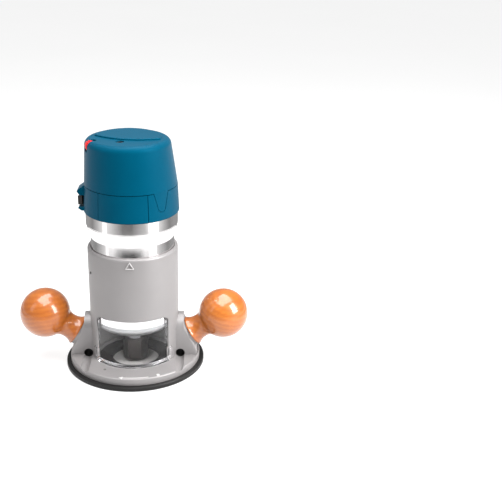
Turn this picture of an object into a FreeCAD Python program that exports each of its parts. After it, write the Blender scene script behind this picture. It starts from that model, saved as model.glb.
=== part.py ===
import FreeCAD, Part
import math
import os
import Sketcher

# Fixed-base router: a motor clamped in a cast base with two turned wooden knobs.
# Millimetres, +Z up. The origin is the centre of the sub-base's underside, and the
# front of the tool, with the chip window, faces -Y.

doc = FreeCAD.newDocument("FixedBaseRouter")
sheet = doc.addObject("Spreadsheet::Sheet", "Size")
V = FreeCAD.Vector
ALONG_Z = FreeCAD.Rotation()
ALONG_Y = FreeCAD.Rotation(V(1, 0, 0), -90)
ALONG_X = FreeCAD.Rotation(V(0, 1, 0), 90)
nodes = {}


# ---------------------------------------------------------------- sizes

class Dim(float):
    """A number that also carries the spreadsheet expression it comes from."""

    def __new__(cls, value, text):
        dim = float.__new__(cls, value)
        dim.text = text
        return dim

    def __add__(self, other):
        return Dim(float(self) + float(other), f"({self.text} + {words(other)})")

    def __sub__(self, other):
        return Dim(float(self) - float(other), f"({self.text} - {words(other)})")

    def __mul__(self, other):
        return Dim(float(self) * float(other), f"({self.text} * {words(other)})")

    def __truediv__(self, other):
        return Dim(float(self) / float(other), f"({self.text} / {words(other)})")

    def __neg__(self):
        return Dim(-float(self), f"(0 - {self.text})")


def words(value):
    return value.text if isinstance(value, Dim) else repr(float(value))


def size(name, value):
    """Put a driving dimension in the sheet and hand it back with its alias."""
    size.row += 1
    sheet.set(f"A{size.row}", name)
    sheet.set(f"B{size.row}", str(value))
    sheet.setAlias(f"B{size.row}", name)
    return Dim(value, f"Size.{name}")


size.row = 0

play = size("running_play", 0.06)
gap = size("body_gap", 0.3)

plate_radius = size("plate_radius", 76.2)
plate_thick = size("plate_thick", 5.0)
plate_hole = size("plate_hole_radius", 26.0)
flange_radius = size("flange_radius", 71.5)
flange_top = size("flange_top", 12.6)
barrel_radius = size("barrel_radius", 48.4)
bore_radius = size("bore_radius", 44.75)
rim_top = size("rim_top", 138.5)
tower_reach = size("tower_reach", 69.0)
tower_outer = size("tower_outer", 54.5)
tower_top = size("tower_top", 60.0)
tower_half = size("tower_half_depth", 15.5)
rod_radius = size("rod_radius", 5.0)
rod_offset = size("rod_offset", 50.5)
rod_height = size("rod_height", 14.8)
window_half = size("window_half_width", 37.0)
window_top = size("window_top", 67.0)
window_corner = size("window_corner", 7.0)

knob_seat_x = size("knob_seat_x", 63.3)
knob_seat_z = size("knob_seat_z", 35.0)
knob_tilt = size("knob_tilt_degrees", 58.0)
ball_radius = size("ball_radius", 27.3)
ball_centre = size("ball_centre", 41.0)
knob_foot = size("knob_foot_radius", 16.6)
stud_radius = size("stud_radius", 4.0)

motor_radius = size("motor_radius", 44.45)
can_bottom = size("can_bottom", 57.5)
can_top = size("can_top", 178.0)
ring_radius = size("ring_radius", 48.6)
nose_bottom = size("nose_bottom", 45.7)
band_bottom = size("band_bottom", 178.3)
band_top = size("band_top", 206.6)
band_radius = size("band_radius", 50.1)
seam_radius = size("seam_radius", 48.8)
shell_inner = size("shell_inner_radius", 46.0)
cap_bottom = size("cap_bottom", 207.3)
seam_gap = size("seam_gap", 0.6)
plateau_top = size("plateau_top", 257.0)
dial_radius = size("dial_radius", 5.5)
tongue_half = size("tongue_half_width", 9.3)

shaft_radius = size("shaft_radius", 8.5)
spindle_radius = size("spindle_radius", 9.5)
collet_bore = size("collet_bore_radius", 6.35)
nut_flats = size("nut_across_flats", 24.0)
nut_bottom = size("nut_bottom", 4.0)
nut_height = size("nut_height", 24.0)
spindle_flats = size("spindle_across_flats", 16.0)

clamp_height = size("clamp_height", 62.0)
clamp_reach = size("clamp_reach", 58.5)
clamp_bearing = size("clamp_bearing", 120.0)
lug_half = size("lug_half_width", 11.5)
lever_pivot = size("lever_pivot_offset", 19.0)
adjust_reach = size("adjust_reach", 58.5)
adjust_bearing = size("adjust_bearing", 62.0)
carriage_bottom = size("carriage_bottom", 100.0)
carriage_height = size("carriage_height", 18.0)
notch_pitch = size("notch_pitch", 12.7)
pawl_height = size("pawl_height", 109.0)

doc.recompute()


# ---------------------------------------------------------------- helpers

def bind(item, prop, value):
    """Set a property, through the sheet when the value comes from it."""
    if isinstance(value, Dim):
        item.setExpression(prop, value.text)
    elif "." not in prop:
        setattr(item, prop, float(value))


def place(item, x=0.0, y=0.0, z=0.0, turn=ALONG_Z):
    item.Placement = FreeCAD.Placement(V(float(x), float(y), float(z)), turn)
    for axis, value in (("x", x), ("y", y), ("z", z)):
        bind(item, f"Placement.Base.{axis}", value)
    return item


def cylinder(name, radius, height, x=0.0, y=0.0, z=0.0, turn=ALONG_Z):
    item = doc.addObject("Part::Cylinder", name)
    bind(item, "Radius", radius)
    bind(item, "Height", height)
    return place(item, x, y, z, turn)


def cone(name, low_radius, high_radius, bottom, height):
    item = doc.addObject("Part::Cone", name)
    bind(item, "Radius1", low_radius)
    bind(item, "Radius2", high_radius)
    bind(item, "Height", height)
    return place(item, z=bottom)


def box(name, low, span):
    """A box from its lowest corner and its three lengths."""
    item = doc.addObject("Part::Box", name)
    for prop, value in zip(("Length", "Width", "Height"), span):
        bind(item, prop, value)
    return place(item, *low)


def hexagon(name, across_flats, height, z=0.0):
    item = doc.addObject("Part::Prism", name)
    item.Polygon = 6
    bind(item, "Circumradius", across_flats * (1 / math.sqrt(3)))
    bind(item, "Height", height)
    return place(item, z=z)


def fuse(name, items):
    item = doc.addObject("Part::MultiFuse", name)
    item.Shapes = items
    return item


def cut(name, base, tools):
    item = doc.addObject("Part::Cut", name)
    item.Base = base
    item.Tool = tools[0] if len(tools) == 1 else fuse(name + "_cuts", tools)
    return item


def common(name, first, second):
    item = doc.addObject("Part::MultiCommon", name)
    item.Shapes = [first, second]
    return item


def ring(name, outer, inner, bottom, height):
    wall = cylinder(name + "_outside", outer, height, z=bottom)
    hole = cylinder(name + "_inside", inner, height, z=bottom)
    return cut(name, wall, [hole])


def about_z(degrees, x=0.0, y=0.0):
    """The placement that turns a finished piece to its bearing on the barrel."""
    return FreeCAD.Placement(V(x, y, 0), FreeCAD.Rotation(V(0, 0, 1), float(degrees)))


def turned(name, item, bearing):
    """A shape made on the +X side and turned to its bearing on the barrel."""
    group = doc.addObject("Part::Compound", name)
    group.Links = [item]
    group.Placement = about_z(bearing)
    group.setExpression("Placement.Rotation.Angle", bearing.text)
    return group


def turned_copies(name, make, bearings):
    """One shape made several times and turned about the tool's axis."""
    copies = []
    for number, bearing in enumerate(bearings, 1):
        copy = make(f"{name}_{number}")
        copy.Placement = about_z(bearing).multiply(copy.Placement)
        copies.append(copy)
    return copies


def node(label, item, bearing=None):
    """Name a finished sub-part, and turn it to its bearing if it has one."""
    if bearing is not None:
        item.Placement = about_z(bearing)
        item.setExpression("Placement.Rotation.Angle", bearing.text)
    item.Label = label
    nodes[label] = item
    return item


def arc_between(start, end, radius):
    """An arc's centre, and its start and end angles counter-clockwise.

    A positive radius bends counter-clockwise from start to end."""
    chord = end.sub(start)
    reach = math.sqrt(max(radius * radius - (chord.Length / 2) ** 2, 0.0))
    side = V(-chord.y, chord.x, 0).normalize()
    centre = start.add(end).multiply(0.5).add(side.multiply(reach if radius > 0 else -reach))
    first = math.atan2(start.y - centre.y, start.x - centre.x)
    last = math.atan2(end.y - centre.y, end.x - centre.x)
    return (centre, first, last) if radius > 0 else (centre, last, first)


def draw(sketch, outline):
    """A closed outline of (across, up) corners. A third value makes the side
    that leaves the corner an arc of that radius, negative for clockwise."""
    starts, ends = [], []
    count = len(outline)
    for number, corner in enumerate(outline):
        following = outline[(number + 1) % count]
        start = V(float(corner[0]), float(corner[1]), 0)
        end = V(float(following[0]), float(following[1]), 0)
        if len(corner) == 2:
            side = sketch.addGeometry(Part.LineSegment(start, end), False)
            starts.append((side, 1))
            ends.append((side, 2))
        else:
            radius = float(corner[2])
            centre, first, last = arc_between(start, end, radius)
            circle = Part.Circle(centre, V(0, 0, 1), abs(radius))
            side = sketch.addGeometry(Part.ArcOfCircle(circle, first, last), False)
            starts.append((side, 1 if radius > 0 else 2))
            ends.append((side, 2 if radius > 0 else 1))
            held = sketch.addConstraint(Sketcher.Constraint("Radius", side, abs(radius)))
            if isinstance(corner[2], Dim) and radius > 0:
                sketch.setExpression(f"Constraints[{held}]", corner[2].text)
    for number, corner in enumerate(outline):
        joined = (*ends[number - 1], *starts[number])
        sketch.addConstraint(Sketcher.Constraint("Coincident", *joined))
        for kind, value, axis in (("DistanceX", corner[0], -2), ("DistanceY", corner[1], -1)):
            if abs(float(value)) < 1e-9:
                rule = Sketcher.Constraint("PointOnObject", *starts[number], axis)
                sketch.addConstraint(rule)
                continue
            rule = Sketcher.Constraint(kind, *starts[number], float(value))
            held = sketch.addConstraint(rule)
            if isinstance(value, Dim):
                sketch.setExpression(f"Constraints[{held}]", value.text)


def sketch_on(body, plane_role, outline, offset=0.0):
    sketch = body.newObject("Sketcher::SketchObject", body.Name + "_outline")
    plane = [p for p in body.Origin.OriginFeatures if p.Role == plane_role][0]
    sketch.AttachmentSupport = [(plane, "")]
    sketch.MapMode = "FlatFace"
    sketch.AttachmentOffset = FreeCAD.Placement(V(0, 0, float(offset)), ALONG_Z)
    if isinstance(offset, Dim):
        sketch.setExpression("AttachmentOffset.Base.z", offset.text)
    draw(sketch, outline)
    return sketch


def lathe(name, outline):
    """A body turned about its own Z axis from a (radius, height) outline."""
    body = doc.addObject("PartDesign::Body", name)
    sketch = sketch_on(body, "XZ_Plane", outline)
    turning = body.newObject("PartDesign::Revolution", name + "_turned")
    turning.Profile = sketch
    turning.ReferenceAxis = (sketch, ["V_Axis"])
    turning.Angle = 360
    return body


def slab(name, plane_role, outline, offset, depth):
    """An outline padded by depth along its plane's normal.

    The normals are +Z for XY_Plane, -Y for XZ_Plane and +X for YZ_Plane."""
    body = doc.addObject("PartDesign::Body", name)
    sketch = sketch_on(body, plane_role, outline, offset)
    pad = body.newObject("PartDesign::Pad", name + "_pad")
    pad.Profile = sketch
    bind(pad, "Length", depth)
    return body


def soften(name, base, radius, chosen):
    """Round the edges of base that the test picks out."""
    doc.recompute()
    picked = [n for n, edge in enumerate(base.Shape.Edges, 1) if chosen(edge)]
    item = doc.addObject("Part::Fillet", name)
    item.Base = base
    item.Edges = [(n, float(radius), float(radius)) for n in picked]
    return item


def coil(name, radius, wire, pitch, length):
    """A compression spring along its own Z axis."""
    helix = Part.makeHelix(pitch, length, radius)
    section = Part.Wire(Part.makeCircle(wire, V(radius, 0, 0), V(0, 1, 0)))
    item = doc.addObject("Part::Feature", name)
    item.Shape = Part.Wire(helix).makePipeShell([section], True, True)
    return item


def spot(bearing, radius, offset=0.0):
    """A point at a bearing on the barrel, moved sideways along the tangent."""
    turn = math.radians(float(bearing))
    outward = V(math.cos(turn), math.sin(turn), 0)
    sideways = V(-math.sin(turn), math.cos(turn), 0)
    return outward.multiply(float(radius)).add(sideways.multiply(float(offset)))


# ---------------------------------------------------------------- base casting

lip_radius = bore_radius - 3.75
lip_top = flange_top - 4.1
edge_round = 1.6
rim_round = 2.8
rim_bevel = 0.6

casting = lathe("casting_turned", [
    (lip_radius, plate_thick),
    (flange_radius, plate_thick),
    (flange_radius, flange_top - edge_round, edge_round),
    (flange_radius - edge_round, flange_top),
    (barrel_radius, flange_top),
    (barrel_radius, rim_top - rim_round, rim_round),
    (barrel_radius - rim_round, rim_top),
    (bore_radius + rim_bevel, rim_top),
    (bore_radius, rim_top - rim_bevel),
    (bore_radius, lip_top),
    (lip_radius, lip_top),
])

# Each tower's outer side leans outwards to the flange, and its top is a round arch.
# A boss square to the knob's axis stands on it, and the knob seats on the boss.
lean = math.radians(90 - float(knob_tilt))
side_slope = 0.488
side_mark_x = 58.6
side_mark_z = 40.3
side_at_outer = side_mark_z + (side_mark_x - float(tower_outer)) / side_slope
side_at_reach = side_mark_z - (float(tower_reach) - side_mark_x) / side_slope
arch_spring = 45.0
arch_radius = 16.0
boss_radius = 15.4
boss_depth = 18.0


def tower(name, side):
    post = slab(name + "_post", "XZ_Plane", [
        (side * 41.5, flange_top - 4.0),
        (tower_reach * side, flange_top - 4.0),
        (tower_reach * side, side_at_reach),
        (tower_outer * side, side_at_outer),
        (tower_outer * side, tower_top),
        (side * 41.5, tower_top),
    ], -tower_half, tower_half * 2)
    rounded = soften(name + "_rounded", post, 2.2, post_edge)
    arch = slab(name + "_arch", "YZ_Plane", [
        (-tower_half, flange_top - 5.0),
        (tower_half, flange_top - 5.0),
        (tower_half, arch_spring, arch_radius),
        (-tower_half, arch_spring),
    ], min(side * 40.0, side * 75.0), 35.0)
    crowned = common(name + "_crowned", rounded, arch)
    boss = doc.addObject("Part::Cylinder", name + "_boss")
    boss.Radius = boss_radius
    boss.Height = boss_depth
    outward = V(side * math.cos(lean), 0, math.sin(lean))
    start = V(side * float(knob_seat_x), 0, float(knob_seat_z)).sub(outward * boss_depth)
    boss.Placement = FreeCAD.Placement(start, FreeCAD.Rotation(V(0, 0, 1), outward))
    return [crowned, boss]


def post_edge(edge):
    """The long outline edges on a tower's front and back faces."""
    middle = edge.CenterOfMass
    on_face = abs(abs(middle.y) - float(tower_half)) < 0.01
    upright = abs(edge.Vertexes[0].Z - edge.Vertexes[-1].Z) > 1
    return on_face and upright and abs(middle.x) > 47 and middle.z > float(flange_top) + 2


lug_low = clamp_height - 16.0
lug_span = 32.0
lug_block = box("lug_block", (46.0, -lug_half, lug_low), (20.0, lug_half * 2, lug_span))
lugs = turned("clamp_lugs", lug_block, clamp_bearing)

bracket_thick = 11.6
brackets = []
for name, bottom in (("lower", carriage_bottom - 4.4 - bracket_thick), ("upper", rim_top - 12.5)):
    arm_block = box(f"{name}_block", (46.0, -8.0, bottom), (20.0, 16.0, bracket_thick))
    brackets.append(turned(f"{name}_bracket", arm_block, adjust_bearing))

main_bore = cylinder("main_bore", bore_radius, 140.0, z=lip_top)
window = slab("window_opening", "XZ_Plane", [
    (-window_half, flange_top),
    (window_half, flange_top),
    (window_half, window_top - window_corner, window_corner),
    (window_half - window_corner, window_top),
    (-window_half + window_corner, window_top, window_corner),
    (-window_half, window_top - window_corner),
], 15.0, 45.0)
split_width = 3.0
split_slot = box("split_slot", (42.0, -split_width / 2, 18.0), (30.0, split_width, 125.0))
split = turned("barrel_split", split_slot, clamp_bearing)
bolt_drill = cylinder("bolt_drill", 3.3, 40.0, clamp_reach, 20.0, clamp_height,
                      FreeCAD.Rotation(V(1, 0, 0), 90))
bolt_hole = turned("clamp_bolt_hole", bolt_drill, clamp_bearing)
slot_low = carriage_bottom - 3.0
slot_block = box("slot_block", (42.0, -5.0, slot_low), (8.0, 10.0, 28.0))
carriage_slot = turned("carriage_slot", slot_block, adjust_bearing)
screw_drill = cylinder("screw_drill", play + 3.0, 80.0, adjust_reach, 0.0, 70.0)
screw_hole = turned("adjust_screw_hole", screw_drill, adjust_bearing)
rods = [cylinder(f"rod_bore_{n}", rod_radius, 180.0, rod_offset * side, -90.0, rod_height, ALONG_Y)
        for n, side in enumerate((-1, 1), 1)]
plate_bearings = [-65.0, 55.0, 175.0]
plate_pitch_radius = 62.0
plate_thread = 2.15


def plate_screw_hole(name):
    return cylinder(name, plate_thread, flange_top - 2.0, plate_pitch_radius, 0.0, 0.0)


solid = fuse("casting_solid", [casting, *tower("left_tower", -1), *tower("right_tower", 1),
                               lugs, *brackets])
holes = [main_bore, window, split, bolt_hole, carriage_slot, screw_hole, *rods,
         *turned_copies("casting_thread", plate_screw_hole, plate_bearings)]
sharp_casting = cut("casting_cut", solid, holes)


def window_edge(edge):
    """The window's outline where it meets the barrel's outer face."""
    middle = edge.CenterOfMass
    near_front = middle.y < -25 and abs(middle.x) <= float(window_half) + 0.1
    in_height = float(flange_top) + 6 < middle.z < float(window_top) + 0.1
    outside = all(abs(math.hypot(v.X, v.Y) - float(barrel_radius)) < 0.05 for v in edge.Vertexes)
    across = abs(edge.Vertexes[0].Z - edge.Vertexes[-1].Z) < 60
    return near_front and in_height and outside and across


window_edge_round = 1.4
node("base_casting", soften("casting", sharp_casting, window_edge_round, window_edge))

# ---------------------------------------------------------------- sub-base

plate_bevel = 0.7
plate = lathe("plate_turned", [
    (plate_hole, 0.0),
    (plate_radius - plate_bevel, 0.0),
    (plate_radius, plate_bevel),
    (plate_radius, plate_thick - plate_bevel),
    (plate_radius - plate_bevel, plate_thick),
    (plate_hole, plate_thick),
])
head_radius = 4.4
head_depth = 2.6


def counterbore(name):
    pocket = cylinder(name + "_seat", head_radius, head_depth, plate_pitch_radius)
    shank = cylinder(name + "_shank", 2.4, plate_thick, plate_pitch_radius)
    return fuse(name, [pocket, shank])


node("sub_base", cut("plate", plate, turned_copies("counterbore", counterbore, plate_bearings)))


def plate_screw(name):
    head = cylinder(name + "_head", head_radius - 0.4, head_depth - 0.5, plate_pitch_radius, 0.0, 0.5)
    shank = cylinder(name + "_shank", plate_thread, flange_top - 5.0, plate_pitch_radius, 0.0, 2.4)
    drive = box(name + "_drive", (plate_pitch_radius - 2.5, -0.5, 0.0), (5.0, 1.0, 1.4))
    return cut(name, fuse(name + "_solid", [head, shank]), [drive])


node("sub_base_screws", fuse("plate_screws", turned_copies("plate_screw", plate_screw, plate_bearings)))

# ---------------------------------------------------------------- wooden knobs

stud_inside = 16.0
stud_length = 46.0
ball_low = 18.7
ball_low_radius = math.sqrt(float(ball_radius) ** 2 - (float(ball_centre) - ball_low) ** 2)


def knob(name, side):
    turned = lathe(name + "_turned", [
        (0.0, 0.0),
        (knob_foot, 0.0),
        (knob_foot, 1.6, -14.0),
        (13.3, 10.5, -11.0),
        (ball_low_radius, ball_low, ball_radius),
        (0.0, ball_centre + ball_radius),
    ])
    hole = cylinder(name + "_hole", stud_radius, stud_length - stud_inside)
    wood = cut(name + "_wood", turned, [hole])
    stud = cylinder(name + "_stud", stud_radius, stud_length, z=-stud_inside)
    turn = FreeCAD.Rotation(V(0, 1, 0), side * float(knob_tilt))
    seat = FreeCAD.Placement(V(side * float(knob_seat_x), 0, float(knob_seat_z)), turn)
    wood.Placement = seat
    stud.Placement = seat.multiply(stud.Placement)
    node(f"{name}_handle", wood)
    node(f"{name}_handle_stud", stud)
    return stud


studs = [knob("left", -1), knob("right", 1)]
# The towers are bored for the studs, so the casting is finished here.
stud_bores = []
for name, stud in zip(("left", "right"), studs):
    bore = cylinder(f"{name}_stud_bore", stud_radius, stud_inside)
    bore.Placement = FreeCAD.Placement(stud.Placement.Base, stud.Placement.Rotation)
    stud_bores.append(bore)
rounded_casting = nodes.pop("base_casting")
rounded_casting.Label = "casting_before_studs"
node("base_casting", cut("base_casting", rounded_casting, stud_bores))

# ---------------------------------------------------------------- barrel clamp

eye_radius = 6.0
eye_thick = 4.4
pin_radius = 2.5
lever_low = clamp_height - 7.0
lever_tall = 14.0
lever_inner = 59.6
lever_outer = 64.6
lever_end = 55.0
pivot = spot(clamp_bearing, clamp_reach, -lever_pivot)
pivot_bearing = math.degrees(math.atan2(pivot.y, pivot.x))

shank = cylinder("clamp_shank", 3.0, lever_pivot + 17.5, clamp_reach, 17.5, clamp_height,
                 FreeCAD.Rotation(V(1, 0, 0), 90))
eye = cylinder("clamp_eye", eye_radius, eye_thick, clamp_reach, -lever_pivot,
               clamp_height - eye_thick / 2)
eye_hole = cylinder("clamp_eye_hole", pin_radius + play, 10.0, clamp_reach, -lever_pivot,
                    clamp_height - 5.0)
node("clamp_bolt", cut("clamp_bolt", fuse("clamp_bolt_solid", [shank, eye]), [eye_hole]),
     clamp_bearing)

nut = hexagon("clamp_nut_hexagon", Dim(10.0, "10"), 5.0)
nut_bore = cylinder("clamp_nut_bore", 3.0, 5.0)
clamp_nut = cut("clamp_nut", nut, [nut_bore])
nut_seat = spot(clamp_bearing, clamp_reach, lug_half)
clamp_nut.Placement = FreeCAD.Placement(
    V(nut_seat.x, nut_seat.y, float(clamp_height)),
    FreeCAD.Rotation(V(0, 0, 1), spot(clamp_bearing, 0.0, 1.0)))
node("clamp_nut", clamp_nut)


def on_circle(radius, bearing):
    point = spot(bearing, radius)
    return point.x, point.y


arm = slab("lever_arm", "XY_Plane", [
    (*on_circle(lever_inner, pivot_bearing), -lever_inner),
    (*on_circle(lever_inner, lever_end), -2.5 - 0.001),
    (*on_circle(lever_outer, lever_end), lever_outer),
    on_circle(lever_outer, pivot_bearing),
], lever_low, lever_tall)
hub = cylinder("lever_hub", 7.0, lever_tall, pivot.x, pivot.y, lever_low)
fork_gap = 6.8
fork = cylinder("lever_fork", 7.6, fork_gap, pivot.x, pivot.y, clamp_height - fork_gap / 2)
pin_hole = cylinder("lever_pin_hole", pin_radius, lever_tall, pivot.x, pivot.y, lever_low)
node("clamp_lever", cut("clamp_lever", fuse("lever_solid", [arm, hub]), [fork, pin_hole]))
node("clamp_lever_pin", cylinder("clamp_lever_pin", pin_radius, lever_tall,
                                 pivot.x, pivot.y, lever_low))

# ---------------------------------------------------------------- depth adjustment

screw_low = carriage_bottom - 15.0
collar_low = rim_top - 14.3
ring_low = rim_top + 0.4
ring_tall = 3.3
knob_low = rim_top + 4.0
knob_tall = 15.0
screw_radius = 3.0
thread = lathe("adjust_thread", [
    (0.0, screw_low),
    (screw_radius, screw_low),
    (screw_radius, collar_low),
    (5.0, collar_low),
    (5.0, collar_low + 1.5),
    (screw_radius, collar_low + 1.5),
    (screw_radius, knob_low + 8.0),
    (0.0, knob_low + 8.0),
])
adjuster = spot(adjust_bearing, adjust_reach)
node("adjust_screw", place(thread, adjuster.x, adjuster.y))
grip = lathe("adjust_grip", [
    (screw_radius, knob_low),
    (7.5, knob_low),
    (8.5, knob_low + 1.0),
    (8.5, knob_low + knob_tall - 1.5),
    (7.0, knob_low + knob_tall),
    (0.0, knob_low + knob_tall),
    (0.0, knob_low + 8.0),
    (screw_radius, knob_low + 8.0),
])
node("adjust_knob", place(grip, adjuster.x, adjuster.y))
collar = ring("indicator_collar", 9.2, screw_radius + play, ring_low, ring_tall)
collar.Placement = FreeCAD.Placement(adjuster, ALONG_Z)
node("indicator_ring", collar)

release_reach = 68.5
block = box("carriage_block", (52.2, -7.0, carriage_bottom), (12.8, 14.0, carriage_height))
nose = box("carriage_nose", (45.3, -4.5, carriage_bottom + 3.0), (7.2, 9.0, 12.0))
ears = [box(f"carriage_ear_{n}", (64.8, y, pawl_height - 3.0), (6.2, 1.6, 6.0))
        for n, y in enumerate((-7.0, 5.4), 1)]
carriage_thread = cylinder("carriage_thread", screw_radius + play, 40.0, adjust_reach, 0.0, 90.0)
ear_hole = cylinder("ear_hole", 1.5, 20.0, release_reach, -10.0, pawl_height, ALONG_Y)
node("adjust_carriage", cut("adjust_carriage", fuse("carriage_solid", [block, nose, *ears]),
                            [carriage_thread, ear_hole]), adjust_bearing)
release_pin = cylinder("release_pin", 1.5, 14.0, release_reach, -7.0, pawl_height, ALONG_Y)
node("release_lever_pin", fuse("release_lever_pin", [release_pin, cylinder(
    "release_pin_core", 1.0, 14.0, release_reach, -7.0, pawl_height, ALONG_Y)]), adjust_bearing)
paddle = box("release_paddle", (release_reach + 1.7, -5.0, pawl_height - 12.0), (2.3, 10.0, 24.0))
knuckle = cylinder("release_knuckle", 2.7, 10.0, release_reach, -5.0, pawl_height, ALONG_Y)
knuckle_hole = cylinder("release_knuckle_hole", 1.5 + play, 10.0, release_reach, -5.0,
                        pawl_height, ALONG_Y)
node("release_lever", cut("release_lever", fuse("release_solid", [paddle, knuckle]),
                          [knuckle_hole]), adjust_bearing)
spring_gap = release_reach + 1.7 - 65.0
release_spring = coil("release_spring", 1.8, 0.25, 1.2, spring_gap - 0.9)
release_spring.Placement = about_z(adjust_bearing).multiply(
    FreeCAD.Placement(V(65.45, 0, float(pawl_height) - 8.5), ALONG_X))
node("release_spring", release_spring)

# ---------------------------------------------------------------- chip shield

shield_sheet = ring("shield_sheet", 47.7, 45.9, flange_top + 0.4, 60.0)
shield_outline = slab("shield_outline", "XZ_Plane", [
    (-window_half + 0.4, flange_top + 0.4),
    (window_half - 0.4, flange_top + 0.4),
    (window_half - 0.4, window_top - window_corner, window_corner - 0.4),
    (window_half - window_corner, window_top - 0.4),
    (-window_half + window_corner, window_top - 0.4, window_corner - 0.4),
    (-window_half + 0.4, window_top - window_corner),
], 15.0, 45.0)
node("chip_shield", common("chip_shield", shield_sheet, shield_outline))

# ---------------------------------------------------------------- motor housing

can_inner = motor_radius - 3.45
can = lathe("can_turned", [
    (can_inner, can_bottom),
    (motor_radius, can_bottom),
    (motor_radius, 150.0),
    (ring_radius - 0.1, 164.0),
    (ring_radius - 0.1, 164.6),
    (ring_radius, 165.2),
    (ring_radius, can_top - 0.8),
    (ring_radius - 0.8, can_top),
    (45.5, can_top),
    (45.5, 166.0),
    (can_inner, 158.0),
])
notches = []
for step in range(3):
    notch_block = box(f"notch_block_{step + 1}",
                      (43.0, -5.0, pawl_height - notch_pitch * step - 2.5), (4.0, 10.0, 5.0))
    notches.append(turned(f"depth_notch_{step + 1}", notch_block, adjust_bearing))
node("motor_can", cut("motor_can", can, notches))

bearing_outer = 17.5
nose_shell = lathe("nose_turned", [
    (12.0, nose_bottom),
    (38.0, nose_bottom),
    (44.3, nose_bottom + 5.2),
    (44.3, can_bottom - 0.1),
    (can_inner + 0.2, can_bottom - 0.1),
    (36.5, nose_bottom + 4.5),
    (21.5, nose_bottom + 4.5),
    (21.5, nose_bottom + 16.5),
    (bearing_outer, nose_bottom + 16.5),
    (bearing_outer, nose_bottom + 2.5),
    (12.0, nose_bottom + 2.5),
])


def nose_vent(name):
    return box(name, (24.0, -2.5, nose_bottom - 1.0), (10.0, 5.0, 8.0))


node("nose_housing", cut("nose_housing", nose_shell, turned_copies(
    "nose_vent", nose_vent, [22.5 + 45 * n for n in range(8)])))

band_height = band_top - band_bottom
panel_bearings = (-128.3, -65.0)


def band_shell(name):
    outside = cone(name + "_outside", band_radius, seam_radius, band_bottom, band_height)
    inside = cylinder(name + "_inside", shell_inner, band_height, z=band_bottom)
    return cut(name, outside, [inside])


def wedge(name, first, last):
    """A pie slice of the band between two bearings."""
    far = 90.0
    return slab(name, "XY_Plane", [
        (0.0, 0.0),
        on_circle(far, first),
        on_circle(far, last),
    ], band_bottom - 1.0, 32.0)


tongue_low = 187.0
tongue_tip_half = 4.5
tongue_tip_rise = 3.5
tongue_bearings = (-46.4, 133.6)


def tongue_slab(name, slack):
    half = tongue_half + slack
    tip_half = tongue_tip_half + float(slack)
    return slab(name, "YZ_Plane", [
        (-tip_half, tongue_low + tongue_tip_rise, tip_half * 1.03),
        (tip_half, tongue_low + tongue_tip_rise),
        (half, cap_bottom + 1.0),
        (-half, cap_bottom + 1.0),
    ], 40.0, 20.0)


def tongue_cut(name):
    return tongue_slab(name, seam_gap)


switch_low = 182.0
switch_tall = 13.0
switch_half = 7.6
switch_window = box("switch_window", (-60.0, -switch_half, switch_low),
                    (25.0, switch_half * 2, switch_tall))
panel_slack = 0.7
band_wedge = wedge("band_wedge", *panel_bearings)
panel_wedge = wedge("panel_wedge", panel_bearings[0] + panel_slack, panel_bearings[1] - panel_slack)
guard_tip = -56.0
guard_half = 9.0
upper_guard = slab("upper_guard", "XZ_Plane", [
    (-45.0, 195.2),
    (guard_tip + 2.8, 195.2),
    (guard_tip, 199.4),
    (guard_tip + 0.6, 200.6),
    (-47.5, 206.4),
    (-45.0, 206.4),
], -guard_half, guard_half * 2)
lower_guard = slab("lower_guard", "XZ_Plane", [
    (-45.0, band_bottom),
    (guard_tip + 4.4, band_bottom),
    (guard_tip + 0.8, 181.0),
    (guard_tip + 1.2, 181.8),
    (-45.0, 181.8),
], -guard_half, guard_half * 2)
hollow = cylinder("band_hollow", shell_inner, 40.0, z=band_bottom - 2.0)
band_solid = fuse("band_solid", [band_shell("band"), cut("guards", fuse("guard_lugs", [
    upper_guard, lower_guard]), [hollow])])
node("lower_band", cut("lower_band", band_solid, [
    band_wedge, switch_window, *turned_copies("tongue_notch", tongue_cut, tongue_bearings)]))
node("front_panel", common("front_panel", band_shell("panel"), panel_wedge))

rocker_pivot = -49.0
rocker_face = size("rocker_face", -56.0)
rocker_outline = slab("rocker_outline", "XY_Plane", [
    (rocker_pivot - 2.2, -5.6),
    (rocker_pivot + 1.0, 0.0),
    (rocker_pivot - 2.2, 5.6),
    (rocker_face, 5.6),
    (rocker_face + 1.9, 0.0),
    (rocker_face + 0.6, -5.6),
], 184.0, 9.4)
rocker_axle = cylinder("rocker_axle", 1.6, 9.4, rocker_pivot - 1.4, 0.0, 184.0)
rocker_bore = cylinder("rocker_bore", 1.0, 9.4, rocker_pivot - 1.4, 0.0, 184.0)
node("power_switch", cut("power_switch", fuse("rocker_solid", [rocker_outline, rocker_axle]),
                         [rocker_bore]))
node("switch_body", box("switch_body", (-45.4, -switch_half + 0.1, 182.4),
                        (13.5, switch_half * 2 - 0.2, 12.2)))
node("switch_axle", cylinder("switch_axle", 1.0 - float(play), switch_tall, rocker_pivot - 1.4, 0.0,
                             switch_low))

# The cap leans: its right side slopes in more than its left one.
shoulder_round = 7.0
crown_z = 255.4
crown_shift = -2.4


def leaning_plug(name, low_radius, high_radius, bottom, top, corner):
    """A solid between two circles, the upper one shifted, with a rounded top edge."""
    rims = []
    for number, (radius, shift, height) in enumerate(
            ((low_radius, 0.0, bottom), (high_radius, crown_shift, top)), 1):
        rim = doc.addObject("Part::Circle", f"{name}_rim_{number}")
        bind(rim, "Radius", radius)
        rims.append(place(rim, shift, 0.0, height))
    loft = doc.addObject("Part::Loft", name + "_loft")
    loft.Sections = rims
    loft.Solid = True
    loft.Ruled = True
    return soften(name, loft, corner, lambda edge: min(v.Z for v in edge.Vertexes) > float(top) - 0.01)


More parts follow.
